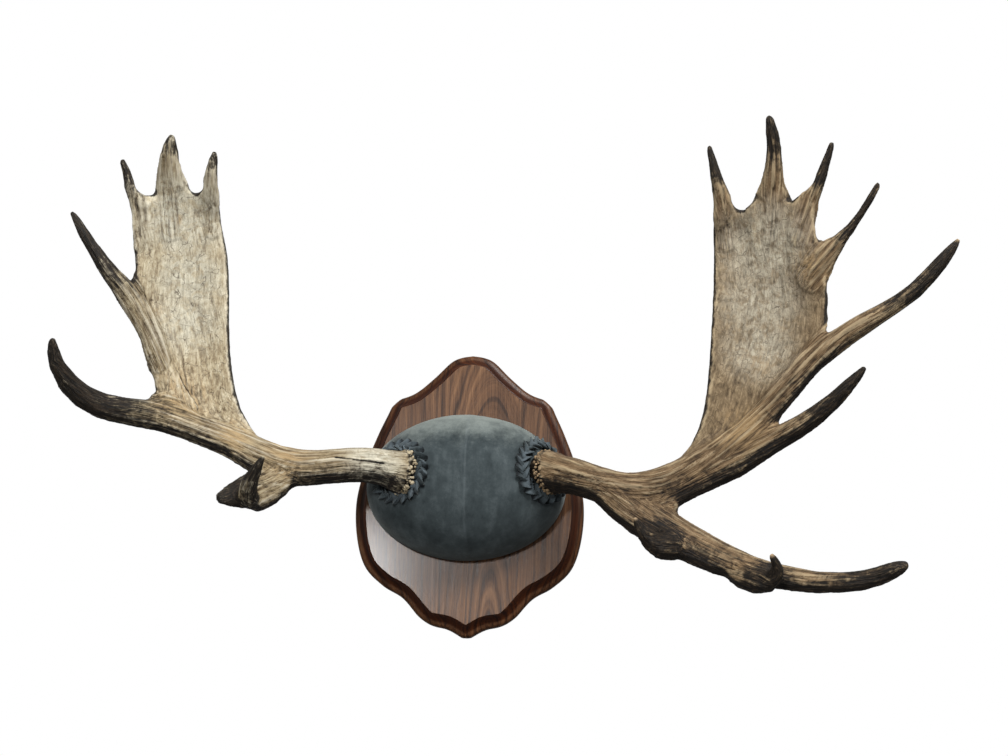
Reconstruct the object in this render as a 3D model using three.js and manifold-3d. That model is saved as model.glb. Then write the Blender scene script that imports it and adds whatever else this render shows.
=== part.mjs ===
// A pair of moose antlers on a walnut trophy shield, with a leather skull cover.
//
// Millimetres, +Z up. The shield's flat back lies in the plane y = 0, the origin is at
// the middle of that back, and the trophy faces -Y. A place is written [x, out, z], where
// out is the distance in front of the wall. Left and right are as seen from the front.

import * as THREE from 'three';
import { mergeVertices } from 'three/addons/utils/BufferGeometryUtils.js';
import Module from 'manifold-3d';

const wasm = await Module();
wasm.setup();

const GAP = 0.3; // clearance between touching pieces
const MERGE_TOLERANCE = 1e-4;

// ---------------------------------------------------------------- driving dimensions

const shieldSize = {
  // Right half of the outline, apex to tip, as [x, z]; the left half mirrors it.
  crown: [[0, 226], [18, 223], [34, 215], [59, 190], [88, 166], [120, 154]],
  flank: [[120, 154], [127, 136], [143, 100], [161, 50], [172, -4], [169, -58], [155, -102],
    [127, -130], [97, -148], [72, -176], [56, -189], [29, -194], [0, -210]],
  crownSteps: 10,
  flankSteps: 19,
  // Routed edge as [inset from the outline, out]: wall face, bead, cove, then the flat face.
  edge: [[0, 0], [0, 6], [3, 8], [5, 12], [12, 16], [16.5, 22], [18.5, 24]],
};
const shieldFace = 24;

const coverSize = {
  centre: [-3.5, 14.5], // x, z
  halfWidth: 150,
  halfHeight: 110,
  rise: 98,
  fullness: 2.4, // exponent of the crowned profile, 2 is an ellipse
  tuck: 0.985, // rim radius where it meets the shield
  rings: 7,
  sides: 36,
};

const screwSize = { headRadius: 4.5, holeRadius: 5.2, holeDepth: 4, headThickness: 2.6, slot: 1.2 };
const screwPlaces = [[-52, 30], [52, 30], [0, -48]]; // x, z on the back

// Branch stations are [x, out, z, half width, half thickness]; thickness follows width
// where it isn't given. The main branch runs from the burr to the tip of the tine that
// carries the beam on. Palm rows are [inner edge, outer edge, cup], from the beam up, where
// cup is how far the middle lies behind the edges. A tine's roots are [row, share of the
// way to the outer edge, half width, half thickness], sunk in the palm.
const leftAntler = {
  burr: { at: [-93, 108, 22], axis: [-0.85, 0.53, 0.12], radius: 33 },
  collar: { at: [-94, 98, 24], axis: [-0.56, 0.83, 0.02], radius: 36 },
  main: [[-62, 88, 26, 24], [-92, 107, 22, 33], [-107, 117, 25, 30], [-129, 128, 28, 26],
    [-163, 140, 26, 26], [-202, 149, 21, 26], [-239, 156, 18, 28, 26], [-279, 162, 27, 28, 24],
    [-327, 171, 50, 25, 20], [-377, 181, 68, 22, 18], [-425, 195, 82, 22, 18],
    [-465, 211, 86, 21], [-508, 235, 90, 19], [-538, 265, 105, 17], [-555, 297, 131, 12],
    [-558, 317, 156, 8], [-556, 325, 163, 4]],
  sideTines: {
    long: [[-400, 180, 88, 25, 8], [-429, 193, 138, 20, 10], [-452, 208, 206, 18, 11],
      [-476, 223, 245, 18, 12], [-498, 237, 274, 15, 13], [-515, 248, 295, 12],
      [-530, 257, 317, 10], [-545, 266, 339, 8], [-556, 274, 359, 6], [-561, 277, 366, 3]],
  },
  palm: [
    [[-290, 161, 53], [-371, 169, 46], 4],
    [[-322, 165, 103], [-427, 187, 85], 12],
    [[-337, 169, 157], [-443, 201, 148], 18],
    [[-344, 174, 219], [-459, 213, 200], 20],
    [[-346, 181, 278], [-481, 223, 250], 18],
    [[-350, 189, 330], [-475, 231, 305], 14],
    [[-360, 199, 376], [-481, 241, 354], 9],
    [[-364, 212, 422], [-483, 252, 399], 4],
  ],
  palmTines: [
    {
      roots: [[4.5, 0.9, 12, 5], [5.7, 0.88, 16, 7], [6.5, 0.88, 15, 9]],
      free: [[-469, 244, 386, 18, 9], [-477, 249, 398, 12, 9], [-484, 256, 412, 8.5],
        [-489, 264, 433, 6.5], [-493, 271, 444, 5], [-493, 273, 448, 3]],
    },
    {
      roots: [[5, 0.5, 20, 4], [6.2, 0.54, 28, 6]],
      free: [[-425, 232, 407, 34, 7], [-428, 241, 422, 24, 10], [-429, 252, 438, 19, 11],
        [-428, 263, 453, 15, 10], [-425, 272, 468, 11, 9], [-422, 279, 477, 7], [-421, 281, 482, 4]],
    },
    {
      roots: [[5.2, 0.2, 10, 4], [6.2, 0.13, 15, 6]],
      free: [[-375, 227, 409, 18, 8], [-371, 237, 423, 12, 9], [-368, 247, 438, 9.5],
        [-364, 256, 453, 7.5], [-362, 260, 460, 5], [-362, 261, 464, 3]],
    },
  ],
  // brow palm, then the hook that rises in front of it
  brow: [
    [[-246, 158, 8, 20, 20], [-278, 174, -10, 27, 17], [-299, 200, -27, 26, 13],
      [-317, 224, -38, 18, 9], [-331, 240, -44, 8, 6]],
    [[-258, 167, -8, 18], [-282, 198, -34, 21, 17], [-291, 228, -40, 19, 12],
      [-284, 252, -22, 14, 9], [-272, 268, -5, 8, 7], [-264, 277, 6, 4.5], [-262, 279, 10, 2.5]],
  ],
};

const rightAntler = {
  burr: { at: [125, 101, 26], axis: [0.83, 0.5, 0.1], radius: 32 },
  collar: { at: [117, 91, 30], axis: [0.52, 0.83, -0.18], radius: 36 },
  main: [[96, 82, 39, 24], [123, 100, 27, 32], [138, 109, 21, 30], [162, 124, 15, 27],
    [194, 138, 2, 26], [230, 149, -10, 26, 25], [276, 157, -8, 28, 24], [348, 173, 27, 24, 18],
    [403, 189, 64, 21, 15], [452, 205, 115, 21, 13], [489, 217, 159, 20, 14],
    [529, 229, 188, 18, 15], [562, 241, 209, 16], [599, 255, 229, 13], [632, 269, 250, 12],
    [659, 283, 277, 11], [679, 293, 301, 8], [687, 298, 311, 5], [689, 300, 315, 3]],
  sideTines: {
    lower: [[288, 160, -25, 20, 14], [334, 170, 1, 22, 16], [388, 185, 23, 22, 16],
      [436, 201, 49, 17, 15], [476, 219, 69, 16], [510, 239, 91, 13], [537, 259, 115, 10],
      [553, 270, 131, 7], [560, 276, 139, 4]],
    crotch: [[262, 160, -34, 16, 14], [289, 166, -38, 17, 12], [303, 169, -39, 12, 8],
      [308, 170, -40, 6, 5]],
  },
  palm: [
    [[289, 159, 13], [339, 171, -10], 3],
    [[326, 164, 53], [388, 179, 12], 8],
    [[344, 169, 100], [432, 191, 41], 14],
    [[352, 173, 161], [458, 207, 102], 18],
    [[356, 177, 219], [494, 217, 147], 20],
    [[359, 183, 278], [519, 227, 226], 18],
    [[360, 191, 334], [514, 235, 276], 14],
    [[359, 199, 366], [503, 243, 333], 9],
    [[362, 209, 388], [495, 252, 392], 4],
  ],
  palmTines: [
    {
      roots: [[5, 0.88, 12, 5], [6, 0.93, 17, 8]],
      free: [[514, 239, 312, 19, 10], [526, 244, 324, 15, 10], [536, 249, 333, 10],
        [549, 257, 346, 7.5], [562, 267, 363, 6], [574, 276, 381, 5.5], [583, 284, 397, 5],
        [585, 287, 402, 3]],
    },
    {
      roots: [[6, 0.78, 12, 4], [7, 0.85, 15, 7]],
      free: [[486, 243, 382, 22, 8], [496, 249, 397, 14, 9], [503, 254, 409, 10],
        [510, 262, 424, 8], [517, 272, 444, 6.5], [522, 280, 460, 5], [523, 282, 465, 3]],
    },
    {
      roots: [[6, 0.5, 16, 4], [7, 0.53, 26, 6]],
      free: [[441, 228, 386, 40, 8], [443, 235, 401, 27, 9], [442, 244, 420, 17, 11],
        [443, 255, 440, 13, 11], [443, 266, 462, 11, 10], [440, 277, 481, 10, 8],
        [436, 285, 498, 7], [434, 288, 503, 4]],
    },
    {
      roots: [[6, 0.18, 10, 4], [7, 0.13, 17, 7]],
      free: [[379, 216, 380, 23, 8], [373, 225, 396, 16, 9], [368, 233, 410, 12, 9],
        [363, 240, 428, 9.5], [358, 247, 448, 7], [353, 252, 466, 5], [353, 254, 472, 3]],
    },
  ],
  // brow palm, the hook near its end, then the hook on its underside
  brow: [
    [[184, 135, 8, 18, 18], [215, 147, -15, 26, 22], [262, 160, -52, 30, 20],
      [313, 178, -84, 28, 17], [371, 200, -117, 24, 16], [424, 218, -137, 19, 15],
      [470, 234, -148, 17, 14], [518, 252, -153, 15, 14], [559, 268, -150, 14, 12],
      [586, 281, -141, 12], [600, 287, -135, 9], [606, 290, -132, 4]],
    [[382, 204, -130, 16], [404, 226, -146, 20, 17], [427, 247, -151, 18, 14],
      [438, 262, -142, 13, 10], [435, 273, -131, 8, 7], [430, 280, -124, 5.5], [428, 282, -120, 3]],
    [[306, 178, -92, 20], [288, 196, -98, 21, 17], [268, 211, -91, 15, 13],
      [255, 222, -77, 9, 8], [249, 229, -67, 5], [247, 232, -63, 3]],
  ],
};

// Where each antler is parted, as the middle of the cut and the way the cut piece leaves it.
const leftForks = {
  hookedTine: { at: [-432, 197, 82], towards: [-0.88, 0.2, -0.43], width: 400, reach: 300 },
  longTine: { at: [-499, 234, 277], towards: [-0.6, 0.3, 0.75], width: 50, reach: 200 },
  palm: { at: [-300, 165, 38], towards: [-0.93, 0.15, 0.3], width: 1400, reach: 400 },
};
const rightForks = {
  longTine: { at: [548, 237, 203], towards: [0.85, 0.3, 0.42], width: 100, reach: 250 },
  lowerTine: { at: [484, 223, 76], towards: [0.68, 0.46, 0.57], width: 52, reach: 200 },
  palm: { at: [292, 162, 8], towards: [0.8, 0.15, 0.58], width: 1400, reach: 700 },
};

const bladeSection = {
  across: [0, 0.04, 0.14, 0.35, 0.65, 0.88, 1], // share of the way to the outer edge
  halfThickness: [3, 6.5, 7, 5, 5, 6.5, 4],
};
const branchSides = 8;
const burrPearls = {
  count: 14,
  radius: 4.2,
  sink: 1.5, // how far their ring lies inside the burr's radius
  radiusSpread: 0.9,
  ringSpread: 0.6,
  wander: 1.5, // along the beam
};
const collarTube = { radius: 9, facets: 6, segments: 22 };

// ---------------------------------------------------------------- solids

const place = ([x, out, z]) => new THREE.Vector3(x, -out, z);

function solidFrom(positions, indices) {
  const vertProperties = Float32Array.from(positions);
  const triVerts = Uint32Array.from(indices);
  return new wasm.Manifold(new wasm.Mesh({ numProp: 3, vertProperties, triVerts }));
}

// Closes a list of Vector3 points and triangles into a solid whose faces point outwards.
function closedSolid(points, faces) {
  let volume = 0;
  for (let i = 0; i < faces.length; i += 3) {
    const [a, b, c] = faces.slice(i, i + 3).map((index) => points[index]);
    volume += a.dot(b.clone().cross(c));
  }
  const outward = volume > 0 ? faces : faces.slice().reverse();
  return solidFrom(points.flatMap((point) => point.toArray()), outward);
}

function solidOf(geometry) {
  const bare = geometry.clone();
  bare.deleteAttribute('normal');
  bare.deleteAttribute('uv');
  const merged = mergeVertices(bare, MERGE_TOLERANCE);
  const index = merged.index.array;
  const faces = [];
  for (let i = 0; i < index.length; i += 3) {
    const [a, b, c] = index.slice(i, i + 3);
    if (a !== b && b !== c && c !== a) faces.push(a, b, c);
  }
  return solidFrom(merged.attributes.position.array, faces);
}

function geometryOf(solid) {
  const mesh = solid.getMesh();
  const geometry = new THREE.BufferGeometry();
  geometry.setAttribute('position', new THREE.BufferAttribute(mesh.vertProperties, 3));
  geometry.setIndex(new THREE.BufferAttribute(mesh.triVerts, 1));
  geometry.computeVertexNormals();
  return geometry;
}

const joined = (solids) => solids.reduce((whole, solid) => whole.add(solid));

// Skins equal rings of points, with a fan over the first ring and the last.
function ringSolid(rings) {
  const sides = rings[0].length;
  const points = rings.flat();
  const faces = [];
  const middle = (ring) => ring
    .reduce((sum, point) => sum.add(point), new THREE.Vector3())
    .divideScalar(sides);
  const first = points.push(middle(rings[0])) - 1;
  const last = points.push(middle(rings.at(-1))) - 1;
  const end = (rings.length - 1) * sides;
  for (let j = 0; j < sides; j++) {
    const k = (j + 1) % sides;
    for (let here = 0; here < end; here += sides) {
      const next = here + sides;
      faces.push(here + j, here + k, next + k, here + j, next + k, next + j);
    }
    faces.push(first, k, j, last, end + j, end + k);
  }
  return closedSolid(points, faces);
}

// A tapering branch with oval sections, carried along its curve without twisting.
function branch(stations, { stepsPerSpan = 1.5, grow = 0 } = {}) {
  const path = new THREE.CatmullRomCurve3(stations.map(place));
  const girth = new THREE.CatmullRomCurve3(
    stations.map(([, , , wide, thick = wide]) => new THREE.Vector3(wide, thick, 0)),
  );
  const steps = Math.round((stations.length - 1) * stepsPerSpan);
  const side = new THREE.Vector3(0, -1, 0).cross(path.getTangent(0));
  const rings = [];
  for (let i = 0; i <= steps; i++) {
    const tangent = path.getTangent(i / steps);
    side.addScaledVector(tangent, -side.dot(tangent)).normalize();
    const up = tangent.clone().cross(side);
    const centre = path.getPoint(i / steps);
    const { x: wide, y: thick } = girth.getPoint(i / steps);
    const ring = [];
    for (let j = 0; j < branchSides; j++) {
      const angle = (j / branchSides) * 2 * Math.PI;
      ring.push(centre.clone()
        .addScaledVector(side, (wide + grow) * Math.cos(angle))
        .addScaledVector(up, (thick + grow) * Math.sin(angle)));
    }
    rings.push(ring);
  }
  return ringSolid(rings);
}

// The middle surface of a palm: row counts up from the beam, share goes from 0 at the
// inner edge to 1 at the outer edge.
function palmSurface(rows) {
  const inner = new THREE.CatmullRomCurve3(rows.map(([edge]) => place(edge)));
  const outer = new THREE.CatmullRomCurve3(rows.map(([, edge]) => place(edge)));
  const last = rows.length - 1;
  return (row, share) => {
    const below = Math.min(Math.floor(row), last - 1);
    const cup = THREE.MathUtils.lerp(rows[below][2], rows[below + 1][2], row - below);
    const point = inner.getPoint(row / last).lerp(outer.getPoint(row / last), share);
    point.y += cup * Math.sin(Math.PI * share);
    return point;
  };
}

// The palm is a cupped blade: a front and a back sheet, stitched round their border.
function palmBlade(rows, { stepsPerRow = 2 } = {}) {
  const { across, halfThickness } = bladeSection;
  const surface = palmSurface(rows);
  const count = (rows.length - 1) * stepsPerRow;
  const columns = across.length;
  const points = [];
  for (let i = 0; i <= count; i++) {
    for (const face of [-1, 1]) {
      across.forEach((share, j) => {
        const point = surface(i / stepsPerRow, share);
        point.y += face * halfThickness[j];
        points.push(point);
      });
    }
  }
  const at = (row, face, column) => (row * 2 + face) * columns + column;
  const faces = [];
  const quad = (a, b, c, d) => faces.push(a, b, c, a, c, d);
  for (let i = 0; i < count; i++) {
    for (let j = 0; j < columns - 1; j++) {
      quad(at(i, 0, j), at(i, 0, j + 1), at(i + 1, 0, j + 1), at(i + 1, 0, j));
      quad(at(i, 1, j + 1), at(i, 1, j), at(i + 1, 1, j), at(i + 1, 1, j + 1));
    }
    const last = columns - 1;
    quad(at(i, 1, 0), at(i, 0, 0), at(i + 1, 0, 0), at(i + 1, 1, 0));
    quad(at(i, 0, last), at(i, 1, last), at(i + 1, 1, last), at(i + 1, 0, last));
  }
  for (let j = 0; j < columns - 1; j++) {
    quad(at(0, 1, j), at(0, 1, j + 1), at(0, 0, j + 1), at(0, 0, j));
    quad(at(count, 0, j), at(count, 0, j + 1), at(count, 1, j + 1), at(count, 1, j));
  }
  return closedSolid(points, faces);
}

// A tine whose first stations lie in the palm's own surface.
function palmTine(rows, { roots, free }) {
  const surface = palmSurface(rows);
  const sunk = roots.map(([row, share, wide, thick]) => {
    const { x, y, z } = surface(row, share);
    return [x, -y, z, wide, thick];
  });
  return branch([...sunk, ...free], { stepsPerSpan: 1 });
}

// A block whose near face stands at a fork, square to the way the cut piece leaves it.
function forkBlock({ at, towards, width, reach }, setBack = 0) {
  const block = new THREE.BoxGeometry(width, width, reach);
  block.translate(0, 0, reach / 2 - setBack);
  const direction = place(towards).normalize();
  block.applyQuaternion(
    new THREE.Quaternion().setFromUnitVectors(new THREE.Vector3(0, 0, 1), direction),
  );
  block.translate(...place(at).toArray());
  return solidOf(block);
}

function splitAt(whole, fork) {
  return {
    rest: whole.subtract(forkBlock(fork, GAP)),
    piece: whole.intersect(forkBlock(fork)),
  };
}

// ---------------------------------------------------------------- shield

function shieldOutline() {
  const curve = (points, steps) => new THREE.SplineCurve(
    points.map(([x, z]) => new THREE.Vector2(x, z)),
  ).getPoints(steps);
  const half = [
    ...curve(shieldSize.crown, shieldSize.crownSteps).slice(0, -1),
    ...curve(shieldSize.flank, shieldSize.flankSteps),
  ];
  const mirrored = half.slice(1, -1).reverse().map(({ x, y }) => new THREE.Vector2(-x, y));
  return [...half, ...mirrored];
}

// Moves every point of a clockwise outline inwards by the same distance from its edges.
function inset(outline, distance) {
  return outline.map((point, i) => {
    const before = outline.at(i - 1);
    const after = outline[(i + 1) % outline.length];
    const normalOf = (from, to) => {
      const edge = to.clone().sub(from).normalize();
      return new THREE.Vector2(edge.y, -edge.x);
    };
    const first = normalOf(before, point);
    const second = normalOf(point, after);
    const mitre = first.clone().add(second).normalize();
    return point.clone().addScaledVector(mitre, distance / mitre.dot(first));
  });
}

function makeShield() {
  const outline = shieldOutline();
  const rings = shieldSize.edge.map(([distance, out]) => inset(outline, distance)
    .map(({ x, y }) => place([x, out, y])));
  const count = outline.length;
  const points = rings.flat();
  const faces = [];
  for (let i = 0; i < rings.length - 1; i++) {
    for (let j = 0; j < count; j++) {
      const a = i * count + j;
      const b = i * count + ((j + 1) % count);
      faces.push(a, b, b + count, a, b + count, a + count);
    }
  }
  const flat = (ring) => ring.map(({ x, z }) => new THREE.Vector2(x, z));
  const top = (rings.length - 1) * count;
  for (const [a, b, c] of THREE.ShapeUtils.triangulateShape(flat(rings[0]), [])) {
    faces.push(a, b, c);
  }
  for (const [a, b, c] of THREE.ShapeUtils.triangulateShape(flat(rings.at(-1)), [])) {
    faces.push(top + a, top + c, top + b);
  }
  const holes = screwPlaces.map(([x, z]) => {
    const { holeRadius, holeDepth } = screwSize;
    const hole = new THREE.CylinderGeometry(holeRadius, holeRadius, 2 * holeDepth, 20);
    return solidOf(hole.translate(x, 0, z));
  });
  return closedSolid(points, faces).subtract(joined(holes));
}

// A wood screw head, slotted, sunk below the shield's back.
function makeScrew([x, z]) {
  const { headRadius, holeDepth, headThickness, slot } = screwSize;
  const head = new THREE.CylinderGeometry(headRadius, headRadius * 0.8, headThickness, 20);
  const groove = new THREE.BoxGeometry(3 * headRadius, slot, slot);
  groove.translate(0, headThickness / 2, 0);
  const sunk = headThickness / 2 + GAP - holeDepth;
  head.translate(x, sunk, z);
  groove.translate(x, sunk, z);
  return solidOf(head).subtract(solidOf(groove));
}

// ---------------------------------------------------------------- cover, burrs and collars

function makeCover(grow = 0) {
  const { centre, halfWidth, halfHeight, rise, fullness, tuck, rings, sides } = coverSize;
  const profile = [new THREE.Vector2(0, -grow), new THREE.Vector2(tuck, -grow)];
  for (let i = 1; i < rings; i++) {
    const angle = (i / rings) * (Math.PI / 2);
    const radius = Math.cos(angle) ** (2 / fullness);
    const height = Math.sin(angle) ** (2 / fullness);
    profile.push(new THREE.Vector2(radius, (rise + grow) * height));
  }
  profile.push(new THREE.Vector2(0, rise + grow));
  const dome = new THREE.LatheGeometry(profile, sides);
  dome.scale(halfWidth + grow, 1, halfHeight + grow);
  dome.rotateX(Math.PI);
  dome.translate(centre[0], -(shieldFace + GAP), centre[1]);
  return solidOf(dome);
}

// Knobs round the burr, of uneven size, fused to the beam.
function makePearls({ at, axis, radius }, grow = 0) {
  const direction = place(axis).normalize();
  const side = new THREE.Vector3(0, 0, 1).cross(direction).normalize();
  const up = direction.clone().cross(side);
  const { count, sink, radiusSpread, ringSpread, wander } = burrPearls;
  const knobs = Array.from({ length: count }, (_, i) => {
    const angle = (i / count) * 2 * Math.PI;
    const uneven = Math.sin(2.4 * i);
    const size = burrPearls.radius + radiusSpread * uneven + grow;
    const reach = radius - sink + ringSpread * uneven;
    const centre = place(at)
      .addScaledVector(side, reach * Math.cos(angle))
      .addScaledVector(up, reach * Math.sin(angle))
      .addScaledVector(direction, wander * Math.cos(1.7 * i));
    return solidOf(new THREE.IcosahedronGeometry(size, 0).translate(...centre.toArray()));
  });
  return joined(knobs);
}

// The gathered roll of leather where the cover closes round a beam, behind the burr.
function makeCollar({ collar: { at, axis, radius }, burr, main }) {
  const { radius: tube, facets, segments } = collarTube;
  const ring = new THREE.TorusGeometry(radius, tube, facets, segments);
  ring.applyQuaternion(new THREE.Quaternion().setFromUnitVectors(
    new THREE.Vector3(0, 0, 1),
    place(axis).normalize(),
  ));
  ring.translate(...place(at).toArray());
  return solidOf(ring)
    .subtract(makeCover(GAP))
    .subtract(branch(main, { grow: GAP }))
    .subtract(makePearls(burr, 2 * GAP));
}

// ---------------------------------------------------------------- antlers

// One antler, parted at its forks. The brow is trimmed where it meets the trunk.
function makeAntler({ main, sideTines, palm, palmTines, brow, burr }, forks) {
  const limbs = [main, ...Object.values(sideTines)];
  const whole = joined([
    ...limbs.map((stations) => branch(stations)),
    ...palmTines.map((tine) => palmTine(palm, tine)),
    palmBlade(palm),
    makePearls(burr),
  ]);
  const clearance = joined(limbs.map((stations) => branch(stations, { grow: GAP })));
  const pieces = {
    brow: joined(brow.map((stations) => branch(stations))).subtract(clearance),
  };
  let rest = whole.subtract(makeCover(GAP));
  for (const [name, fork] of Object.entries(forks)) {
    const parted = splitAt(rest, fork);
    pieces[name] = parted.piece;
    rest = parted.rest;
  }
  return { ...pieces, beam: rest };
}

// ---------------------------------------------------------------- assembly

const finishes = {
  walnut: new THREE.MeshStandardMaterial({ color: 0x6b4530, roughness: 0.35, metalness: 0 }),
  suede: new THREE.MeshStandardMaterial({ color: 0x4c575b, roughness: 0.95, metalness: 0 }),
  antler: new THREE.MeshStandardMaterial({ color: 0x9c8a68, roughness: 0.65, metalness: 0 }),
  steel: new THREE.MeshStandardMaterial({ color: 0x8c8a84, roughness: 0.4, metalness: 0.9 }),
};

const group = new THREE.Group();

function add(name, solid, finish) {
  const mesh = new THREE.Mesh(geometryOf(solid), finish.clone());
  mesh.name = name;
  group.add(mesh);
}

add('shield', makeShield(), finishes.walnut);
screwPlaces.forEach((at, i) => add(`shield_screw_${i + 1}`, makeScrew(at), finishes.steel));
add('skull_cover', makeCover(), finishes.suede);
add('leather_collar_left', makeCollar(leftAntler), finishes.suede);
add('leather_collar_right', makeCollar(rightAntler), finishes.suede);

const left = makeAntler(leftAntler, leftForks);
add('antler_left_beam', left.beam, finishes.antler);
add('antler_left_palm', left.palm, finishes.antler);
add('antler_left_brow', left.brow, finishes.antler);
add('antler_left_hooked_tine', left.hookedTine, finishes.antler);
add('antler_left_long_tine', left.longTine, finishes.antler);

const right = makeAntler(rightAntler, rightForks);
add('antler_right_beam', right.beam, finishes.antler);
add('antler_right_palm', right.palm, finishes.antler);
add('antler_right_brow', right.brow, finishes.antler);
add('antler_right_lower_tine', right.lowerTine, finishes.antler);
add('antler_right_long_tine', right.longTine, finishes.antler);

export default group;
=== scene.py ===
import math

import bmesh
import bpy
import numpy as np
from mathutils import Matrix, Vector, noise
from mathutils.bvhtree import BVHTree


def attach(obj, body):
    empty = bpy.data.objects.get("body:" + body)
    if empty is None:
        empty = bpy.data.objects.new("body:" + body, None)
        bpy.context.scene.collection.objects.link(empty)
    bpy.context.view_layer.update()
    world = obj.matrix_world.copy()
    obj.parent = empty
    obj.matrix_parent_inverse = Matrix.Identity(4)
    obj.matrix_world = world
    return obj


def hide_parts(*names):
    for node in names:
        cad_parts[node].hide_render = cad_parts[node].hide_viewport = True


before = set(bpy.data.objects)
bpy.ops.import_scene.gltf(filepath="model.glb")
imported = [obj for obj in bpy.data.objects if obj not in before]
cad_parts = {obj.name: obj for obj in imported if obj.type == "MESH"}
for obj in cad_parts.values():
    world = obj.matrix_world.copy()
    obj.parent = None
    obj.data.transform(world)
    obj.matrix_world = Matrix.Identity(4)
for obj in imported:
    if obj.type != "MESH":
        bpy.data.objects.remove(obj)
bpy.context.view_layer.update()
mm = 0.001


def place(x, out, z):
    # millimetres to the right, out from the wall and up
    return Vector((x, -out, z)) * mm


def placed(name, data):
    thing = bpy.data.objects.new(name, data)
    bpy.context.scene.collection.objects.link(thing)
    return thing


# the camera stands a little left of the middle and looks up at the trophy
camera = {
    "spot": (0.2346, -2.6736, -0.5),
    "right": (0.9977, 0.0645, 0.0203),
    "up": (-0.0034, -0.2512, 0.9679),
    "lens": 64.2857,
    "sensor": 36,
}


def makeCamera():
    data = bpy.data.cameras.new("camera")
    data.lens = camera["lens"]
    data.sensor_width = camera["sensor"]
    data.clip_start, data.clip_end = 0.05, 100
    eye = placed("camera", data)
    right = Vector(camera["right"]).normalized()
    back = right.cross(Vector(camera["up"])).normalized()
    up = back.cross(right)
    turn = Matrix((right, up, back)).transposed().to_4x4()
    eye.matrix_world = Matrix.Translation(camera["spot"]) @ turn
    bpy.context.scene.camera = eye


makeCamera()
print("camera placed")


# small helpers for building materials
def newMaterial(name):
    material = bpy.data.materials.new(name)
    material.use_nodes = True
    return material, material.node_tree, material.node_tree.nodes["Principled BSDF"]


def feed(tree, node, inputs):
    # sockets are linked and other values set
    for key, value in inputs.items():
        if isinstance(value, bpy.types.NodeSocket):
            tree.links.new(value, node.inputs[key])
        else:
            node.inputs[key].default_value = value


def put(tree, kind, inputs=None, **settings):
    node = tree.nodes.new("ShaderNode" + kind)
    for key, value in settings.items():
        setattr(node, key, value)
    feed(tree, node, inputs or {})
    return node


def sums(tree, operation, *values):
    return put(tree, "Math", dict(enumerate(values)), operation=operation).outputs[0]


def times(tree, a, b):
    return sums(tree, "MULTIPLY", a, b)


def plus(tree, a, b):
    return sums(tree, "ADD", a, b)


def minus(tree, a, b):
    return sums(tree, "SUBTRACT", a, b)


def scaled(tree, vector, amount):
    return put(tree, "VectorMath", {0: vector, "Scale": amount}, operation="SCALE").outputs[0]


def between(tree, factor, a, b):
    return put(tree, "Mix", {0: factor, 2: a, 3: b}).outputs[0]


def mixed(tree, factor, a, b, blend="MIX"):
    node = put(tree, "Mix", {0: factor, 6: a, 7: b}, data_type="RGBA", blend_type=blend)
    return node.outputs[2]


def tinted(tree, factor, colour, shade, blend="MIX"):
    return mixed(tree, factor, colour, tint(*shade), blend)


def spread(tree, value, low, high, toLow=0.0, toHigh=1.0):
    inputs = {0: value, 1: low, 2: high, 3: toLow, 4: toHigh}
    return put(tree, "MapRange", inputs, interpolation_type="SMOOTHSTEP").outputs[0]


def ramp(tree, value, stops):
    node = put(tree, "ValToRGB", {0: value})
    steps = node.color_ramp.elements
    while len(steps) < len(stops):
        steps.new(0.5)
    for step, (at, shade) in zip(steps, stops):
        step.position = at
        step.color = tint(*shade)
    return node.outputs["Color"]


def noiseOf(tree, where, scale, detail=2.0, rough=0.5, distortion=0.0):
    inputs = {"Vector": where, "Scale": scale, "Detail": detail, "Roughness": rough, "Distortion": distortion}
    return put(tree, "TexNoise", inputs).outputs["Fac"]


def stretched(tree, where, scale):
    return put(tree, "Mapping", {"Vector": where, "Scale": scale}).outputs[0]


def tint(red, green, blue):
    # screen colour out of 255 to the linear colour a shader wants
    def linear(value):
        value /= 255
        return value / 12.92 if value <= 0.04045 else ((value + 0.055) / 1.055) ** 2.4

    return (linear(red), linear(green), linear(blue), 1)


def objectPlace(tree):
    return put(tree, "TexCoord").outputs["Object"]


def attribute(tree, name, output="Fac"):
    return put(tree, "Attribute", attribute_name=name).outputs[output]


def bumped(tree, shader, height, distance, strength, before=None):
    inputs = {"Height": height, "Distance": distance, "Strength": strength}
    if before is not None:
        inputs["Normal"] = before
    bump = put(tree, "Bump", inputs).outputs[0]
    feed(tree, shader, {"Normal": bump})
    return bump


# oiled walnut, glued up from three boards
walnut = {
    "joints": (-32, 74),  # where the boards meet, mm
    "heart": ((-150, 60, 0.02), (34, 16, 0.16), (190, 70, 0.03)),  # x, depth, lean of each board's heart
    "ring": 5.2,  # width of one year's growth, mm
    "tones": ((0.32, (27, 15, 8)), (0.41, (62, 39, 23)), (0.50, (98, 67, 43)), (0.60, (118, 84, 56)),
              (0.72, (138, 102, 71))),
    "cloud": (92, 55, 34),
    "pore": (38, 22, 15),
    "joint": (40, 25, 18),
    # the moulding's tint: its darker stain, with painted shade that is deepest in the cove
    "moulding": (158, 116, 76),  # the stain lies darker in the moulding
    "roughness": (0.29, 0.44),
    # on the face and in the moulding
    "coat": (0.24, 0.03),
    "specular": (0.22, 0.16),
    "coatRoughness": 0.145,
}


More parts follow.
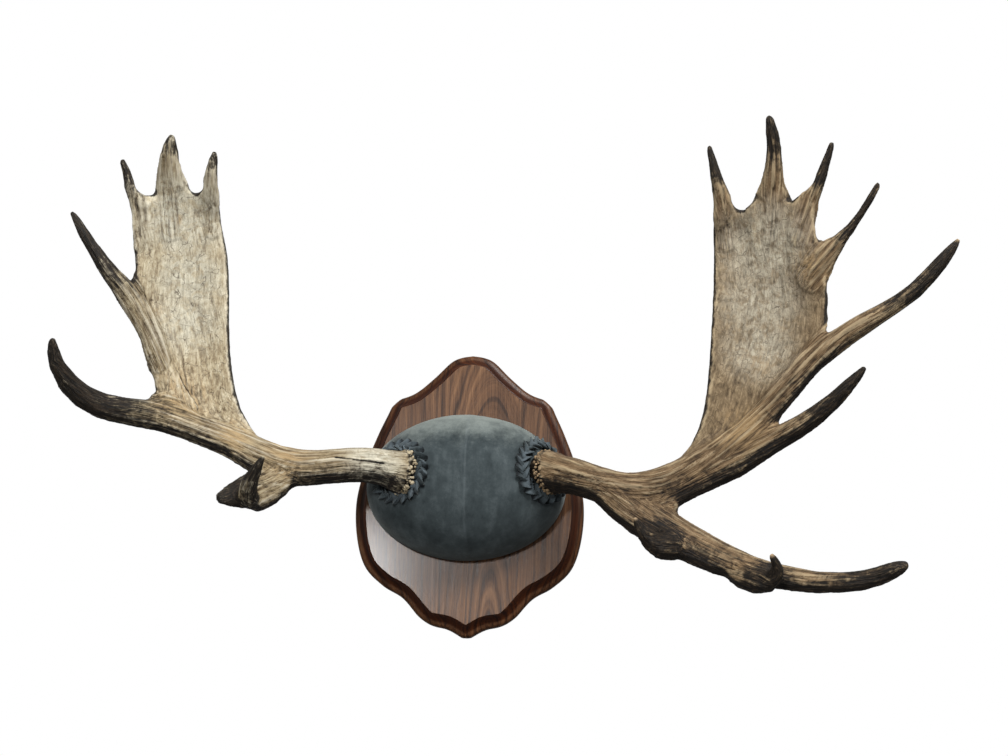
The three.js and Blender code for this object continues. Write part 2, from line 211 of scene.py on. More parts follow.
def makeWalnut():
    material, tree, shader = newMaterial("oiled_walnut")
    where = scaled(tree, objectPlace(tree), 1 / mm)
    axes = put(tree, "SeparateXYZ", {0: where}).outputs
    sway = noiseOf(tree, stretched(tree, where, (0.03, 0.03, 0.006)), 1.0, 3.0)
    swayed = sums(tree, "MULTIPLY_ADD", sway, 20.0, -10.0)
    rings = None
    for index, (heart, depth, lean) in enumerate(walnut["heart"]):
        across = plus(tree, minus(tree, axes[0], heart), swayed)
        deep = minus(tree, sums(tree, "MULTIPLY_ADD", axes[2], lean, depth), axes[1])
        flat = put(tree, "CombineXYZ", {0: across, 1: deep}).outputs[0]
        radius = put(tree, "VectorMath", {0: flat}, operation="LENGTH").outputs["Value"]
        shifted = plus(tree, radius, 53.0 * index)  # no two boards share their rings
        if rings is None:
            rings = shifted
        else:
            past = sums(tree, "GREATER_THAN", axes[0], walnut["joints"][index - 1])
            rings = between(tree, past, rings, shifted)
    inputs = {"W": rings, "Scale": 1 / walnut["ring"], "Detail": 4.0, "Roughness": 0.62}
    year = put(tree, "TexNoise", inputs, noise_dimensions="1D").outputs["Fac"]
    fibre = noiseOf(tree, stretched(tree, where, (0.9, 0.9, 0.014)), 1.0, 5.0, 0.68)
    pores = noiseOf(tree, stretched(tree, where, (2.4, 2.4, 0.07)), 1.0, 2.0, 0.5)
    cloud = noiseOf(tree, stretched(tree, where, (0.02, 0.02, 0.006)), 1.0, 4.0)
    figure = plus(tree, times(tree, year, 0.5), times(tree, fibre, 0.5))
    colour = ramp(tree, figure, walnut["tones"])
    colour = tinted(tree, spread(tree, cloud, 0.35, 0.7, 0.0, 0.45), colour, walnut["cloud"], "MULTIPLY")
    colour = tinted(tree, spread(tree, pores, 0.60, 0.70, 0.0, 0.75), colour, walnut["pore"])
    gaps = [sums(tree, "ABSOLUTE", minus(tree, axes[0], edge)) for edge in walnut["joints"]]
    joint = sums(tree, "LESS_THAN", sums(tree, "MINIMUM", *gaps), 0.35)
    colour = tinted(tree, times(tree, joint, 0.6), colour, walnut["joint"])
    # darker stain in the moulding with painted shade, deepest in the cove; it also sets roughness, coat and
    # specular
    moulded = attribute(tree, "moulding")
    colour = tinted(tree, moulded, colour, walnut["moulding"], "MULTIPLY")
    rough = spread(tree, fibre, 0.3, 0.7, *walnut["roughness"])
    feed(tree, shader, {
        "Base Color": colour,
        "Roughness": plus(tree, rough, times(tree, moulded, 0.12)),
        "Coat Weight": spread(tree, moulded, 0.0, 0.5, *walnut["coat"]),
        "Coat Roughness": walnut["coatRoughness"],
        "Specular IOR Level": spread(tree, moulded, 0.0, 0.5, *walnut["specular"]),
    })
    first = bumped(tree, shader, pores, 0.00025, 0.35)
    bumped(tree, shader, fibre, 0.0003, 0.25, first)
    return material


# slate grey suede, with the nap brushed light and dark
suede = {
    "tones": ((0.36, (41, 48, 50)), (0.50, (58, 66, 68)), (0.62, (76, 84, 86)), (0.74, (96, 104, 104))),
    "fuzz": (40, 46, 50),
    # painted highlight: the cover's top is painted paler, where the light from above falls
    "top": (136, 143, 137),  # where the nap catches the light above
    "topHeights": (0.055, 0.135),
    "rubbed": (122, 131, 134),
    "braid": (90, 100, 107),
    # painted shade for the creases between the strands
    "crease": (13, 16, 19),
    "sheen": (205, 212, 208),
}


def makeSuede(name, braided):
    material, tree, shader = newMaterial(name)
    where = objectPlace(tree)
    clouds = noiseOf(tree, where, 34.0, 8.0, 0.72, 0.15)
    brushed = noiseOf(tree, stretched(tree, where, (1, 1, 0.28)), 55.0, 4.0, 0.6)
    fuzz = noiseOf(tree, where, 900.0, 3.0, 0.7)
    nap = plus(tree, times(tree, clouds, 0.6), times(tree, brushed, 0.4))
    colour = ramp(tree, nap, suede["tones"])
    if braided:
        colour = tinted(tree, spread(tree, brushed, 0.35, 0.65, 0.05, 0.75), colour, suede["braid"])
        # painted shade in the creases: the lower a strand lies, the darker it is
        colour = tinted(tree, attribute(tree, "crease"), colour, suede["crease"])
    else:
        # painted highlight: the cover is painted paler towards its top, as if lit from above
        height = put(tree, "SeparateXYZ", {0: where}).outputs[2]
        height = plus(tree, height, times(tree, minus(tree, clouds, 0.5), 0.10))
        colour = tinted(tree, spread(tree, height, *suede["topHeights"], 0.0, 0.85), colour, suede["top"])
        colour = tinted(tree, attribute(tree, "rubbed"), colour, suede["rubbed"])
    colour = tinted(tree, spread(tree, fuzz, 0.3, 0.7, 0.0, 0.22), colour, suede["fuzz"])
    feed(tree, shader, {
        "Base Color": colour,
        "Roughness": 0.95,
        "Specular IOR Level": 0.2,
        "Sheen Weight": 0.25,
        "Sheen Roughness": 0.45,
        "Sheen Tint": tint(*suede["sheen"]),
    })
    first = bumped(tree, shader, fuzz, 0.0006, 0.5)
    bumped(tree, shader, brushed, 0.002, 0.2, first)
    return material


# weathered antler: streaks follow each limb, whose own coordinates the points hold
grain = {
    "limb": 18,  # how many times longer than wide a streak is
    "palm": 8,
    "palmThick": 26,  # reach of the palm's coordinates through its thickness, mm
    # scales of the streaks, the cloudy patches, the palm's blotches and the specks, per metre
    "fine": 640.0,
    "broad": 210.0,
    "mottle": 75.0,
    "blotch": 150.0,
    "speck": 520.0,
    "shares": (0.42, 0.38, 0.20),  # of fine, broad and mottle in the tone
    "calm": 0.78,  # contrast left on the palm
    "cracks": ((48.0, 0.035, 1.0), (120.0, 0.03, 0.6)),  # scale, width, depth
}


def makeAntlerMaterial(name, look, limbs):
    material, tree, shader = newMaterial(name)
    where = objectPlace(tree)
    palm = attribute(tree, "palm")

    def streaks(scale, detail):
        # one noise per limb, each fading into the next
        total = square = None
        for limb in limbs:
            own = put(tree, "Attribute", attribute_name=f"limb_{limb}").outputs
            streak = noiseOf(tree, own["Vector"], scale, detail, 0.6)
            part = times(tree, minus(tree, streak, 0.5), own["Alpha"])
            weight = times(tree, own["Alpha"], own["Alpha"])
            total = part if total is None else plus(tree, total, part)
            square = weight if square is None else plus(tree, square, weight)
        even = sums(tree, "SQRT", sums(tree, "MAXIMUM", square, 0.01))
        return plus(tree, sums(tree, "DIVIDE", total, even), 0.5)

    # first channel: painted shade with the real stains; second and third: gold and grey patches
    stainAndShade = put(tree, "SeparateColor", {0: attribute(tree, "stainAndShade", "Color")}).outputs
    dark, gold, grey = stainAndShade[0], stainAndShade[1], stainAndShade[2]
    relief = attribute(tree, "relief")
    bone = attribute(tree, "bone")
    fine = streaks(grain["fine"], 3.0)
    broad = streaks(grain["broad"], 4.0)
    mottle = noiseOf(tree, where, grain["mottle"], 6.0, 0.68, 0.8)
    speck = noiseOf(tree, where, grain["speck"], 3.0, 0.65)
    fineShare, broadShare, mottleShare = grain["shares"]
    level = plus(tree, times(tree, fine, fineShare), times(tree, broad, broadShare))
    level = plus(tree, level, times(tree, mottle, mottleShare))
    # the palm is calmer, and blotched more than streaked
    blotch = noiseOf(tree, stretched(tree, where, (1, 1, 0.5)), grain["blotch"], 6.0, 0.72, 0.6)
    level = between(tree, times(tree, palm, 0.5), level, blotch)
    calm = spread(tree, palm, 0.0, 1.0, 1.0, grain["calm"])
    level = plus(tree, times(tree, minus(tree, level, 0.5), calm), 0.5)
    colour = ramp(tree, level, look["ramp"])
    colour = tinted(tree, minus(tree, 1.0, palm), colour, look["limbTone"], "MULTIPLY")
    patch = times(tree, grey, spread(tree, mottle, 0.36, 0.56, 0.3, 1.0))
    ashen = ramp(tree, level, look["ashRamp"])
    colour = mixed(tree, times(tree, patch, 0.85), colour, ashen)
    warm = times(tree, gold, spread(tree, broad, 0.42, 0.62, 0.05, 0.7))
    colour = tinted(tree, warm, colour, look["gold"])
    # thin dark cracks that wander across the palm
    drift = put(tree, "TexNoise", {"Vector": where, "Scale": 60.0, "Detail": 3.0}).outputs["Color"]
    bent = put(tree, "VectorMath", {0: where, 1: scaled(tree, drift, 0.02)}).outputs[0]
    lines = []
    for scale, width, depth in grain["cracks"]:
        edge = put(tree, "TexVoronoi", {"Vector": bent, "Scale": scale}, feature="DISTANCE_TO_EDGE")
        lines.append(spread(tree, edge.outputs["Distance"], 0.0, width, depth, 0.0))
    crack = times(tree, sums(tree, "MAXIMUM", *lines), spread(tree, mottle, 0.44, 0.58))
    crack = times(tree, crack, palm)
    colour = tinted(tree, times(tree, crack, 0.8), colour, look["brown"])
    freckle = spread(tree, speck, 0.60, 0.70, 0.0, 0.4)
    colour = tinted(tree, freckle, colour, look["freckle"])
    # hollows are dirty and ridges are worn pale
    colour = tinted(tree, spread(tree, relief, 0.5, 0.1, 0.0, look["hollow"]), colour, look["brown"])
    colour = tinted(tree, spread(tree, relief, 0.55, 0.9, 0.0, look["worn"]), colour, look["ridge"])
    # dark stain soaks into the grooves first, so pale streaks are left on the ridges; the painted shade of
    # the first channel joins it
    patchy = times(tree, minus(tree, 0.5, mottle), 0.8)
    soak = times(tree, minus(tree, 0.5, level), look["soak"])
    soak = plus(tree, dark, plus(tree, soak, patchy))
    soak = plus(tree, soak, times(tree, minus(tree, 0.5, relief), 0.35))
    deep = mixed(tree, spread(tree, fine, 0.42, 0.66), tint(*look["black"]), tint(*look["umber"]))
    colour = mixed(tree, spread(tree, soak, 0.16, 0.78, 0.0, 0.98), colour, deep)
    colour = tinted(tree, bone, colour, look["bone"])
    rough = spread(tree, speck, 0.3, 0.7, 0.5, 0.72)
    feed(tree, shader, {"Base Color": colour, "Roughness": rough, "Specular IOR Level": 0.22})
    depth = between(tree, palm, 1.0, 0.5)
    first = bumped(tree, shader, times(tree, fine, depth), 0.0024, 0.8)
    second = bumped(tree, shader, speck, 0.0007, 0.5, first)
    third = bumped(tree, shader, crack, 0.0005, -0.6, second)
    bumped(tree, shader, times(tree, broad, depth), 0.005, 0.6, third)
    return material


def makeSteel():
    material, tree, shader = newMaterial("screw_steel")
    where = objectPlace(tree)
    scratch = noiseOf(tree, stretched(tree, where, (1, 1, 8)), 700.0, 3.0, 0.6)
    colour = ramp(tree, scratch, ((0.3, (120, 118, 112)), (0.7, (168, 166, 160))))
    rough = spread(tree, scratch, 0.3, 0.7, 0.3, 0.5)
    feed(tree, shader, {"Base Color": colour, "Metallic": 1.0, "Roughness": rough})
    bumped(tree, shader, scratch, 0.0002, 0.4)
    return material


walnutFinish = makeWalnut()
coverSuede = makeSuede("slate_suede_cover", False)
braidSuede = makeSuede("slate_suede_braid", True)
paleLook = {
    "ramp": ((0.34, (74, 60, 42)), (0.43, (130, 113, 87)), (0.50, (174, 159, 130)),
             (0.57, (205, 194, 166)), (0.66, (232, 225, 203))),
    "ashRamp": ((0.34, (104, 101, 90)), (0.43, (160, 155, 138)), (0.53, (202, 197, 178)),
                (0.66, (228, 224, 207))),
    "limbTone": (200, 193, 182),
    "gold": (180, 151, 108),
    "freckle": (100, 78, 54),
    "black": (13, 11, 10),
    "umber": (50, 40, 30),
    "brown": (60, 45, 31),
    "ridge": (236, 228, 206),
    "bone": (208, 194, 164),
    "soak": 2.2,
    "hollow": 0.75,
    "worn": 0.4,
}
oliveLook = dict(
    paleLook,
    ramp=((0.34, (40, 31, 21)), (0.43, (80, 66, 47)), (0.50, (118, 100, 75)),
          (0.57, (150, 131, 102)), (0.66, (188, 169, 136))),
    ashRamp=((0.34, (92, 87, 76)), (0.43, (146, 139, 122)), (0.53, (184, 176, 156)), (0.66, (212, 205, 186))),
    limbTone=(214, 203, 194),
    gold=(160, 133, 94),
    freckle=(64, 49, 33),
    ridge=(204, 184, 148),
    bone=(182, 156, 122),
)
screwSteel = makeSteel()
print("materials made")


def newPiece(name, mesh, finish, stands, smoothAngle=None):
    mesh.name = name
    piece = placed(name, mesh)
    mesh.materials.clear()
    mesh.materials.append(finish)
    mesh.shade_smooth()
    if smoothAngle:
        mesh.set_sharp_from_angle(angle=math.radians(smoothAngle))
    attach(piece, "root")
    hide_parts(*stands)
    return piece


def meshOf(bm, name):
    mesh = bpy.data.meshes.new(name)
    bm.to_mesh(mesh)
    bm.free()
    return mesh


def modified(mesh, kind, **settings):
    # the mesh as one modifier leaves it
    carrier = placed("carrier", mesh)
    modifier = carrier.modifiers.new("change", kind)
    for key, value in settings.items():
        setattr(modifier, key, value)
    graph = bpy.context.evaluated_depsgraph_get()
    result = bpy.data.meshes.new_from_object(carrier.evaluated_get(graph))
    bpy.data.objects.remove(carrier)
    return result


def gathered(items, key, width, kind=float):
    values = np.empty(len(items) * width, kind)
    items.foreach_get(key, values)
    return values.reshape(-1, width)


def pointsOf(mesh):
    return gathered(mesh.vertices, "co", 3)


def normalsOf(mesh):
    return gathered(mesh.vertex_normals, "vector", 3)


def edgesOf(mesh):
    return gathered(mesh.edges, "vertices", 2, np.int64)


def ringFrame(ring):
    # the middle of a ring, the way it faces and two directions across it
    x, out, z = ring["axis"]
    axis = Vector((x, -out, z)).normalized()
    side = axis.cross(Vector((0, 0, 1))).normalized()
    return place(*ring["at"]), axis, side, side.cross(axis)


def setPoints(mesh, points):
    mesh.vertices.foreach_set("co", points.astype(np.float32).ravel())
    mesh.update()


def setValues(mesh, name, values):
    layer = mesh.attributes.new(name, "FLOAT", "POINT")
    layer.data.foreach_set("value", np.clip(values, 0, 1).astype(np.float32))


def setColours(mesh, name, columns):
    layer = mesh.attributes.new(name, "FLOAT_COLOR", "POINT")
    layer.data.foreach_set("color", np.column_stack(columns).astype(np.float32).ravel())


def eased(value, low, high):
    share = np.clip((value - low) / (high - low), 0, 1)
    return share * share * (3 - 2 * share)


def neighbourMean(values, edges):
    count = len(values)
    near, far = edges.T
    number = np.bincount(near, minlength=count) + np.bincount(far, minlength=count)
    total = np.stack([
        np.bincount(near, column[far], count) + np.bincount(far, column[near], count)
        for column in values.T
    ], axis=1)
    return total / np.maximum(number, 1)[:, None]


def settled(values, edges, amount):
    # each row moved part of the way to the mean of its neighbours
    return values + (neighbourMean(values, edges) - values) * amount


# the shield
shield = {
    "crown": ((0, 226), (18, 223), (34, 215), (59, 190), (88, 166), (120, 154)),
    "flank": ((120, 154), (127, 136), (143, 100), (161, 50), (172, -4), (169, -58), (155, -102),
              (127, -130), (97, -148), (72, -176), (58, -189)),
    "foot": ((58, -189), (29, -194), (0, -210)),
    "steps": (34, 84, 22),
    # the moulding from the wall to the face: inset, out
    "moulding": ((0.6, 0), (0, 0.6), (0, 6), (0.4, 8), (1.5, 10), (3, 11.3), (4.6, 12), (6.5, 12.3),
                 (9, 13.3), (11.5, 15), (13.6, 17.2), (15.2, 19.6), (16.3, 21.2), (17.4, 21.6),
                 (17.8, 22.2), (17.9, 23.6), (18.4, 24)),
    "rounding": ((120, 154, 7), (58, -189, 16), (0, -210, 5)),  # outline corners eased over this far
    "screwHole": (5.2, 4),
    "screws": ((-52, 30), (52, 30), (0, -48)),
}


def curveThrough(points, steps):
    # an even smooth line through the points, as a Catmull-Rom curve
    points = [Vector(point) for point in points]
    padded = [2 * points[0] - points[1], *points, 2 * points[-1] - points[-2]]
    line = []
    for before, a, b, after in zip(padded, padded[1:], padded[2:], padded[3:]):
        for step in range(24):
            t = step / 24
            line.append(0.5 * (2 * a + (b - before) * t + (2 * before - 5 * a + 4 * b - after) * t * t
                               + (3 * a - before - 3 * b + after) * t ** 3))
    line.append(points[-1])
    lengths = np.concatenate([[0], np.cumsum([(b - a).length for a, b in zip(line, line[1:])])])
    wanted = np.linspace(0, lengths[-1], steps + 1)
    columns = np.array([tuple(point) for point in line]).T
    return [Vector(spot) for spot in zip(*[np.interp(wanted, lengths, column) for column in columns])]


def insetRun(points, distance, startNormal, endNormal):
    # control points moved inwards; the ends go along their mitres
    alongs = [(after - before).normalized() for before, after in zip(points, points[2:])]
    normals = [startNormal, *[Vector((along.y, -along.x)) for along in alongs], endNormal]
    return [point + normal * distance for point, normal in zip(points, normals)]


def mitre(first, second):
    # the way a corner moves, for one unit of inset on both of its sides
    a = Vector((first.y, -first.x)).normalized()
    b = Vector((second.y, -second.x)).normalized()
    middle = (a + b).normalized()
    return middle / middle.dot(a)


def shieldRing(distance):
    runs = [[Vector(point) for point in shield[part]] for part in ("crown", "flank", "foot")]

    def tangent(run, index):
        fine = curveThrough(run, 60)
        return fine[1] - fine[0] if index == 0 else fine[-1] - fine[-2]

    tip = tangent(runs[2], -1)
    corners = [
        Vector((0, -1)),
        mitre(tangent(runs[0], -1), tangent(runs[1], 0)),
        mitre(tangent(runs[1], -1), tangent(runs[2], 0)),
        mitre(tip, Vector((tip.x, -tip.y))),
    ]
    half = []
    for run, steps, start, end in zip(runs, shield["steps"], corners, corners[1:]):
        half += curveThrough(insetRun(run, distance, start, end), steps)[:-1]
    half.append(Vector(runs[2][-1]) + corners[3] * distance)
    ring = half + [Vector((-point.x, point.y)) for point in reversed(half[1:-1])]
    line = np.array([tuple(point) for point in ring])
    outward = 1 - distance / 19
    ease = np.zeros(len(line))
    for x, z, reach in shield["rounding"]:
        away = np.hypot(np.abs(line[:, 0]) - x, line[:, 1] - z)
        ease = np.maximum(ease, outward * (1 - eased(away, 0.3 * reach, 1.6 * reach)))
    for step in range(14):
        average = (np.roll(line, 1, 0) + np.roll(line, -1, 0)) / 2
        line += (average - line) * ease[:, None]
    return line


def makeShield():
    bm = bmesh.new()
    stainAndShade = bm.verts.layers.float.new("moulding")
    rings = []
    for distance, out in shield["moulding"]:
        verts = [bm.verts.new(place(x, out, z)) for x, z in shieldRing(distance)]
        for vert in verts:
            # darker stain with painted shade: the cove gets the most, the bead half, the face none
            vert[stainAndShade] = 0.0 if out > 23.9 else 1.0 if out > 12.5 else 0.5
        edges = [bm.edges.new(pair) for pair in zip(verts, verts[1:] + verts[:1])]
        if rings:
            bmesh.ops.bridge_loops(bm, edges=rings[-1] + edges)
        rings.append(edges)
    for edges in (rings[0], rings[-1]):
        bmesh.ops.contextual_create(bm, geom=edges)
    bmesh.ops.triangulate(bm, faces=[face for face in bm.faces if len(face.verts) > 4])
    bmesh.ops.recalc_face_normals(bm, faces=bm.faces)
    mesh = meshOf(bm, "walnut_shield")
    radius, depth = shield["screwHole"]
    cutter = bmesh.new()
    for x, z in shield["screws"]:
        spot = Matrix.Translation(place(x, 0, z)) @ Matrix.Rotation(math.pi / 2, 4, "X")
        bmesh.ops.create_cone(cutter, cap_ends=True, segments=40, radius1=radius * mm, radius2=radius * mm,
                              depth=2 * depth * mm, matrix=spot)
    tool = placed("drill", meshOf(cutter, "drill"))
    mesh = modified(mesh, "BOOLEAN", object=tool, operation="DIFFERENCE", solver="EXACT")
    bpy.data.objects.remove(tool)
    return newPiece("walnut_shield", mesh, walnutFinish, ["shield"], 32)


makeShield()
print("shield made")


# the suede cover over the skull plate
cover = {
    "centre": (-3.5, 14.5),
    "half": (150, 110),
    "rise": 98,
    "fullness": 2.4,
    "base": 24.3,
    # the rim turns in under the edge: share of the half width, and height
    "rim": ((0.0, 0.0), (0.5, 0.0), (0.93, 0.0), (0.945, 0.5), (0.95, 1.3), (0.98, 1.7), (0.993, 2.6)),
    "rings": 40,
    "segments": 112,
    "seam": 2.0,  # x of the faint seam down the middle
    "pucker": 0.9,  # height of the folds that run out from the collars
    "sunk": 1.6,  # how far the suede is drawn in at the collars
    "slack": 1.2,
}
collars = {
    "left": {"at": (-94, 98, 24), "axis": (-0.56, 0.83, 0.02), "radius": 38},
    "right": {"at": (117, 91, 30), "axis": (0.52, 0.83, -0.18), "radius": 38},
}


def makeCover():
    bm = bmesh.new()
    outline = list(cover["rim"])
    for step in range(1, cover["rings"]):
        angle = step / cover["rings"] * math.pi / 2
        across = math.cos(angle) ** (2 / cover["fullness"])
        rise = cover["rise"] * math.sin(angle) ** (2 / cover["fullness"])
        if rise > 3.5:  # clear of the rim
            outline.append((across, rise))
    outline.append((0.0, cover["rise"]))
    verts = [bm.verts.new((share, -out * mm, 0)) for share, out in outline]
    edges = [bm.edges.new(pair) for pair in zip(verts, verts[1:])]
    bmesh.ops.spin(bm, geom=verts + edges, cent=(0, 0, 0), axis=(0, 1, 0), angle=2 * math.pi,
                   steps=cover["segments"], use_merge=True)
    bmesh.ops.remove_doubles(bm, verts=bm.verts, dist=1e-5)
    bmesh.ops.scale(bm, vec=(cover["half"][0] * mm, 1, cover["half"][1] * mm), verts=bm.verts)
    bmesh.ops.translate(bm, vec=place(cover["centre"][0], cover["base"], cover["centre"][1]), verts=bm.verts)
    bmesh.ops.recalc_face_normals(bm, faces=bm.faces)
    mesh = modified(meshOf(bm, "cover"), "SUBSURF", levels=1, render_levels=1)
    points, normals = pointsOf(mesh) / mm, normalsOf(mesh)
    front = eased(-points[:, 1], 30, 55)
    lift = np.zeros(len(points))
    # a sunk seam between two soft swellings, which wanders a little
    wander = np.array([noise.noise(Vector((0, 0, z * 0.02))) for z in points[:, 2]])
    fromSeam = points[:, 0] - cover["seam"] - 1.5 * wander
    lift += front * (0.35 * np.exp(-(fromSeam / 6) ** 2) - 0.3 * np.exp(-(fromSeam / 1.6) ** 2))
    # puckers that run out from each collar
    for collar in collars.values():
        centre, side, above = [np.array(ringFrame(collar)[index]) for index in (0, 2, 3)]
        offset = points - centre / mm
        across, up = offset @ side, offset @ above
        reach, angle = np.hypot(across, up), np.arctan2(up, across)
        fold = np.cos(17 * angle + 1.2 * np.sin(3 * angle)) + 0.6 * np.cos(29 * angle + 2)
        near = 1 - eased(reach, collar["radius"] + 4, collar["radius"] + 20)
        drawn = 1 - eased(reach, collar["radius"] - 2, collar["radius"] + 9)
        lift += cover["pucker"] * near * fold * front - cover["sunk"] * drawn
    uneven = np.array([noise.noise(Vector(point) * 0.018) for point in points])
    lift += cover["slack"] * uneven * front
    setPoints(mesh, (points + normals * lift[:, None]) * mm)
    setValues(mesh, "rubbed", 0.16 * front * np.exp(-(fromSeam / 1.4) ** 2))
    piece = newPiece("suede_cover", mesh, coverSuede, ["skull_cover"], 50)
    return piece


coverPiece = makeCover()
print("cover made")


# the braided collars, three strands plaited round each burr
braid = {
    "turns": 7,
    "sway": 5.2,  # how far a strand swings to each side, mm
    "weave": 2.3,  # how far it rises and falls
    "lean": 7.5,  # how far the edges run ahead of the middle
    "half": 11,  # half width and height of the whole braid
    "height": 3.4,
    "width": 6.2,  # half width and half thickness of one strand
    "thick": 2.7,
    "steps": 300,
}


def collarPath(collar):
    # points and surface normals where the collar lies on the cover
    cloth = BVHTree.FromObject(coverPiece, bpy.context.evaluated_depsgraph_get())
    centre, axis, side, above = ringFrame(collar)
    spots, normals = [], []
    for step in range(braid["steps"]):
        angle = 2 * math.pi * step / braid["steps"]
        rim = centre + (side * math.cos(angle) + above * math.sin(angle)) * collar["radius"] * mm
        hit, normal = cloth.ray_cast(rim + axis * 0.1, -axis)[:2]
        if hit is None:
            hit, normal = rim - axis * 0.01, axis
        spots.append(hit)
        normals.append(normal)
    spots, normals = np.array(spots), np.array(normals)
    for turn in range(12):
        spots = (np.roll(spots, 1, 0) + np.roll(spots, -1, 0) + 2 * spots) / 4
        normals = (np.roll(normals, 1, 0) + np.roll(normals, -1, 0) + 2 * normals) / 4
    return spots, normals / np.linalg.norm(normals, axis=1)[:, None]


def makeCollar(side):
    spots, normals = collarPath(collars[side])
    alongs = np.roll(spots, -1, 0) - np.roll(spots, 1, 0)
    alongs /= np.linalg.norm(alongs, axis=1)[:, None]
    acrosses = np.cross(normals, alongs)
    bm = bmesh.new()
    for strand in range(3):
        tube = bmesh.new()
        shade = tube.verts.layers.float.new("crease")
        bmesh.ops.create_grid(tube, x_segments=braid["steps"], y_segments=14, size=0.5)
        for vert in tube.verts:
            share, around = vert.co.x + 0.5, (vert.co.y + 0.5) * 2 * math.pi
            step = int(round(share * braid["steps"])) % braid["steps"]
            phase = 2 * math.pi * (share * braid["turns"] + strand / 3)
            swing = math.cos(phase)
            crease = noise.noise(Vector((share * 90, strand * 7, around)))
            pinch = 1 + 0.12 * math.sin(2 * phase) + 0.16 * crease
            wide = braid["width"] * pinch * math.cos(around)
            thick = braid["thick"] * pinch * math.sin(around) * (1 - 0.25 * math.cos(around) ** 2)
            # the strand leans into its turns
            tip = 0.5 * math.cos(2 * phase)
            across = braid["sway"] * math.sin(phase) + wide * math.cos(tip) - thick * math.sin(tip)
            high = (braid["height"] + braid["weave"] * math.sin(2 * phase)
                    + wide * math.sin(tip) * 0.5 + thick * math.cos(tip))
            lead = 3.2 * swing * wide / braid["width"] + braid["lean"] * abs(across) / braid["half"]
            # painted shade: the lower the point lies, the darker it is painted
            vert[shade] = float(1 - eased(high - 0.25 * abs(across), 0.6, 5.8))
            spot = Vector(spots[step]) + Vector(acrosses[step]) * across * mm
            vert.co = spot + Vector(normals[step]) * high * mm + Vector(alongs[step]) * lead * mm
        bmesh.ops.remove_doubles(tube, verts=tube.verts, dist=1e-6)
        bmesh.ops.recalc_face_normals(tube, faces=tube.faces)
        part = meshOf(tube, "strand")
        bm.from_mesh(part)
        bpy.data.meshes.remove(part)
    mesh = meshOf(bm, "braid")
    piece = newPiece(f"suede_braid_{side}", mesh, braidSuede, [f"leather_collar_{side}"])
    return piece


for side in collars:
    makeCollar(side)
print("collars made")


